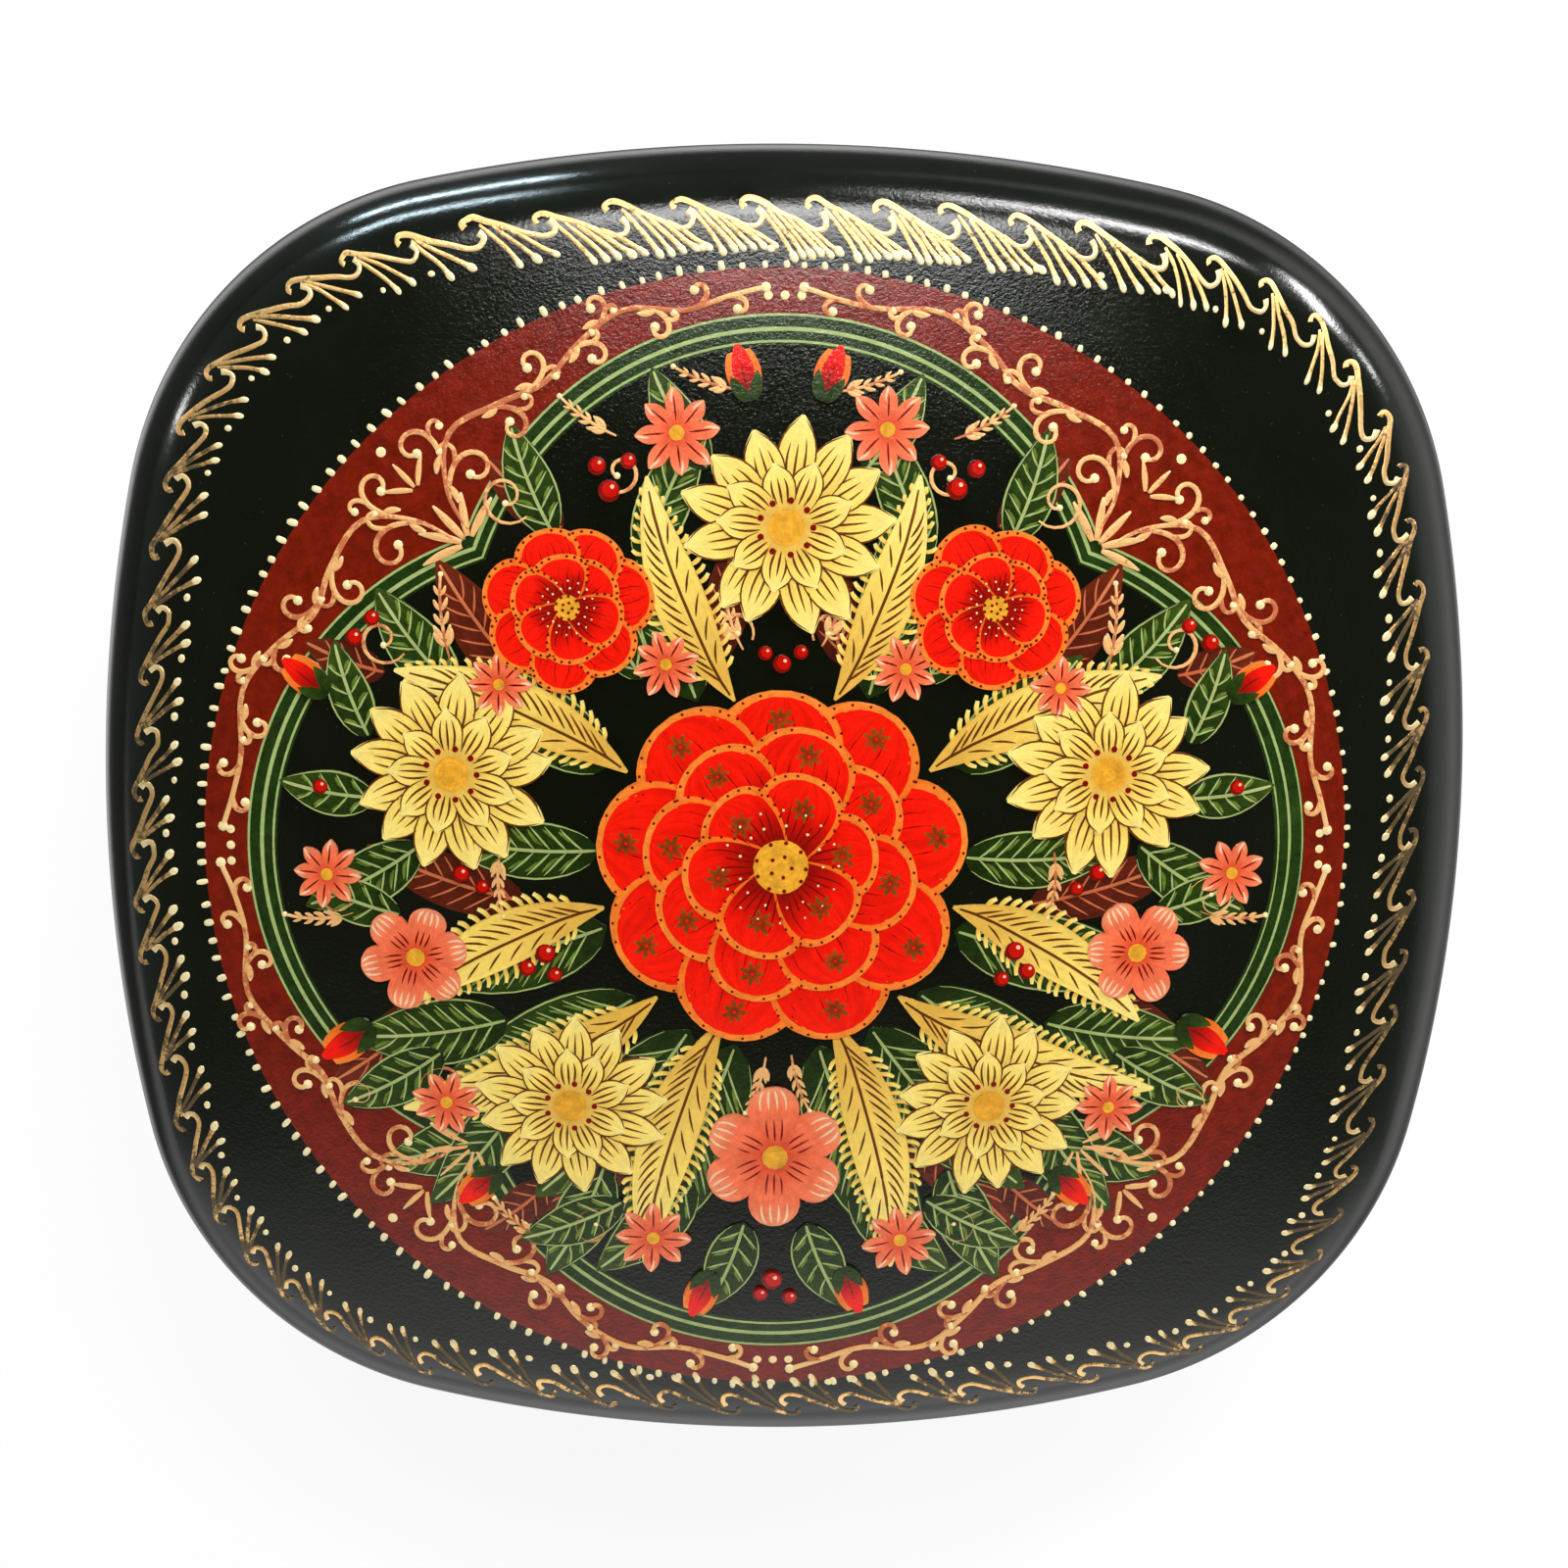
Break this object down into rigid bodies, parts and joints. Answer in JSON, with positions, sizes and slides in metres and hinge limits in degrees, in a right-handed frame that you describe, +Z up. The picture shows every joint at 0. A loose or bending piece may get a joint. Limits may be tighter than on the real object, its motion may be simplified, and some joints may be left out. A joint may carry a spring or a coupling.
{
  "type": "lacquer box",
  "caption": "Low papier-mache trinket box with a bowed, nearly square plan, black gloss lacquer, a domed painted lid on a hidden brass hinge, and a red lacquered inside.",
  "frame": {"origin": "centre of the plan, on the surface that the box stands on", "axes": "+Z up out of the lid, +Y towards the hinge at the back, +X to the right of someone who faces the front"},
  "size_m": [0.076, 0.073, 0.0344],
  "materials": {
    "lacquer_black": "gloss",
    "lacquer_red": "gloss",
    "hinge_brass": "satin",
    "gold_paint": "satin",
    "maroon_paint": "gloss",
    "red_paint": "gloss",
    "coral_paint": "gloss",
    "orange_paint": "gloss",
    "cream_paint": "gloss",
    "green_paint": "gloss",
    "pale_green_paint": "gloss"
  },
  "bodies": {
    "box": {"body_wall": "lacquer_black", "base_board": "lacquer_black", "liner": "lacquer_red", "body_hinge_leaf": "hinge_brass", "body_tacks": "hinge_brass", "hinge_pin": "hinge_brass"},
    "lid": {"lid_rim": "lacquer_black", "lid_dome": "lacquer_black", "lid_hinge_leaf": "hinge_brass", "lid_tacks": "hinge_brass"}
  },
  "joints": [
    {"name": "lid_hinge", "type": "hinge", "parent": "box", "child": "lid", "pos_m": [0, 0.03469, 0.0201], "axis": [-1, 0, 0], "range_deg": [0, 95]}
  ]
}
